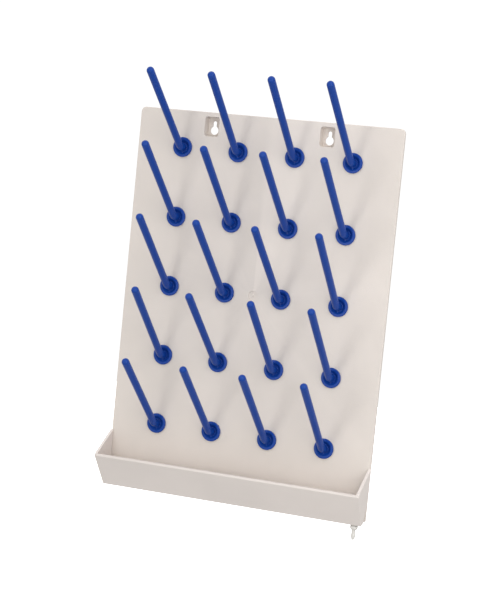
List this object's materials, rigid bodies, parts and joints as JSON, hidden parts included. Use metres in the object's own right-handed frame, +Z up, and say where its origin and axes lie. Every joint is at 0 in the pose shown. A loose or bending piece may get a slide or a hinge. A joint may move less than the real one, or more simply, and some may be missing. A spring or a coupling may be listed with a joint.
{
  "type": "wall-mounted draining rack",
  "caption": "Moulded wall board with rows of push-in angled pegs that hold glassware to drain, over a hung drip trough with a hose nozzle.",
  "frame": {"origin": "on the wall plane behind the centre of the peg grid, where the board's centre boss meets the wall", "axes": "+Z up the board, +Y into the wall, so the pegs point towards -Y, and +X to the right as seen from the front"},
  "size_m": [0.402, 0.1511, 0.6282],
  "materials": {
    "board_plastic": "satin warm off-white polystyrene moulding with faint flow streaks",
    "trough_plastic": "satin warm off-white polystyrene moulding",
    "spout_plastic": "satin natural polypropylene",
    "peg_plastic": "semi-gloss deep blue polypropylene",
    "seal_rubber": "matt off-white soft rubber"
  },
  "bodies": {
    "board": {"back_board": "board_plastic"},
    "trough": {"drip_trough": "trough_plastic", "drain_spout": "spout_plastic", "drain_seal": "seal_rubber"},
    "peg_r1_c1": {"peg_r1_c1": "peg_plastic"},
    "peg_r1_c2": {"peg_r1_c2": "peg_plastic"},
    "peg_r1_c3": {"peg_r1_c3": "peg_plastic"},
    "peg_r1_c4": {"peg_r1_c4": "peg_plastic"},
    "peg_r2_c1": {"peg_r2_c1": "peg_plastic"},
    "peg_r2_c2": {"peg_r2_c2": "peg_plastic"},
    "peg_r2_c3": {"peg_r2_c3": "peg_plastic"},
    "peg_r2_c4": {"peg_r2_c4": "peg_plastic"},
    "peg_r3_c1": {"peg_r3_c1": "peg_plastic"},
    "peg_r3_c2": {"peg_r3_c2": "peg_plastic"},
    "peg_r3_c3": {"peg_r3_c3": "peg_plastic"},
    "peg_r3_c4": {"peg_r3_c4": "peg_plastic"},
    "peg_r4_c1": {"peg_r4_c1": "peg_plastic"},
    "peg_r4_c2": {"peg_r4_c2": "peg_plastic"},
    "peg_r4_c3": {"peg_r4_c3": "peg_plastic"},
    "peg_r4_c4": {"peg_r4_c4": "peg_plastic"},
    "peg_r5_c1": {"peg_r5_c1": "peg_plastic"},
    "peg_r5_c2": {"peg_r5_c2": "peg_plastic"},
    "peg_r5_c3": {"peg_r5_c3": "peg_plastic"},
    "peg_r5_c4": {"peg_r5_c4": "peg_plastic"}
  },
  "joints": [
    {"name": "trough_lift", "type": "slide", "parent": "board", "child": "trough", "axis": [0, 0, 1], "range_m": [0, 0.008]},
    {"name": "peg_r1_c1_pull", "type": "slide", "parent": "board", "child": "peg_r1_c1", "axis": [0, -1, 0], "range_m": [0, 0.011]},
    {"name": "peg_r1_c2_pull", "type": "slide", "parent": "board", "child": "peg_r1_c2", "axis": [0, -1, 0], "range_m": [0, 0.011]},
    {"name": "peg_r1_c3_pull", "type": "slide", "parent": "board", "child": "peg_r1_c3", "axis": [0, -1, 0], "range_m": [0, 0.011]},
    {"name": "peg_r1_c4_pull", "type": "slide", "parent": "board", "child": "peg_r1_c4", "axis": [0, -1, 0], "range_m": [0, 0.011]},
    {"name": "peg_r2_c1_pull", "type": "slide", "parent": "board", "child": "peg_r2_c1", "axis": [0, -1, 0], "range_m": [0, 0.011]},
    {"name": "peg_r2_c2_pull", "type": "slide", "parent": "board", "child": "peg_r2_c2", "axis": [0, -1, 0], "range_m": [0, 0.011]},
    {"name": "peg_r2_c3_pull", "type": "slide", "parent": "board", "child": "peg_r2_c3", "axis": [0, -1, 0], "range_m": [0, 0.011]},
    {"name": "peg_r2_c4_pull", "type": "slide", "parent": "board", "child": "peg_r2_c4", "axis": [0, -1, 0], "range_m": [0, 0.011]},
    {"name": "peg_r3_c1_pull", "type": "slide", "parent": "board", "child": "peg_r3_c1", "axis": [0, -1, 0], "range_m": [0, 0.011]},
    {"name": "peg_r3_c2_pull", "type": "slide", "parent": "board", "child": "peg_r3_c2", "axis": [0, -1, 0], "range_m": [0, 0.011]},
    {"name": "peg_r3_c3_pull", "type": "slide", "parent": "board", "child": "peg_r3_c3", "axis": [0, -1, 0], "range_m": [0, 0.011]},
    {"name": "peg_r3_c4_pull", "type": "slide", "parent": "board", "child": "peg_r3_c4", "axis": [0, -1, 0], "range_m": [0, 0.011]},
    {"name": "peg_r4_c1_pull", "type": "slide", "parent": "board", "child": "peg_r4_c1", "axis": [0, -1, 0], "range_m": [0, 0.011]},
    {"name": "peg_r4_c2_pull", "type": "slide", "parent": "board", "child": "peg_r4_c2", "axis": [0, -1, 0], "range_m": [0, 0.011]},
    {"name": "peg_r4_c3_pull", "type": "slide", "parent": "board", "child": "peg_r4_c3", "axis": [0, -1, 0], "range_m": [0, 0.011]},
    {"name": "peg_r4_c4_pull", "type": "slide", "parent": "board", "child": "peg_r4_c4", "axis": [0, -1, 0], "range_m": [0, 0.011]},
    {"name": "peg_r5_c1_pull", "type": "slide", "parent": "board", "child": "peg_r5_c1", "axis": [0, -1, 0], "range_m": [0, 0.011]},
    {"name": "peg_r5_c2_pull", "type": "slide", "parent": "board", "child": "peg_r5_c2", "axis": [0, -1, 0], "range_m": [0, 0.011]},
    {"name": "peg_r5_c3_pull", "type": "slide", "parent": "board", "child": "peg_r5_c3", "axis": [0, -1, 0], "range_m": [0, 0.011]},
    {"name": "peg_r5_c4_pull", "type": "slide", "parent": "board", "child": "peg_r5_c4", "axis": [0, -1, 0], "range_m": [0, 0.011]}
  ]
}
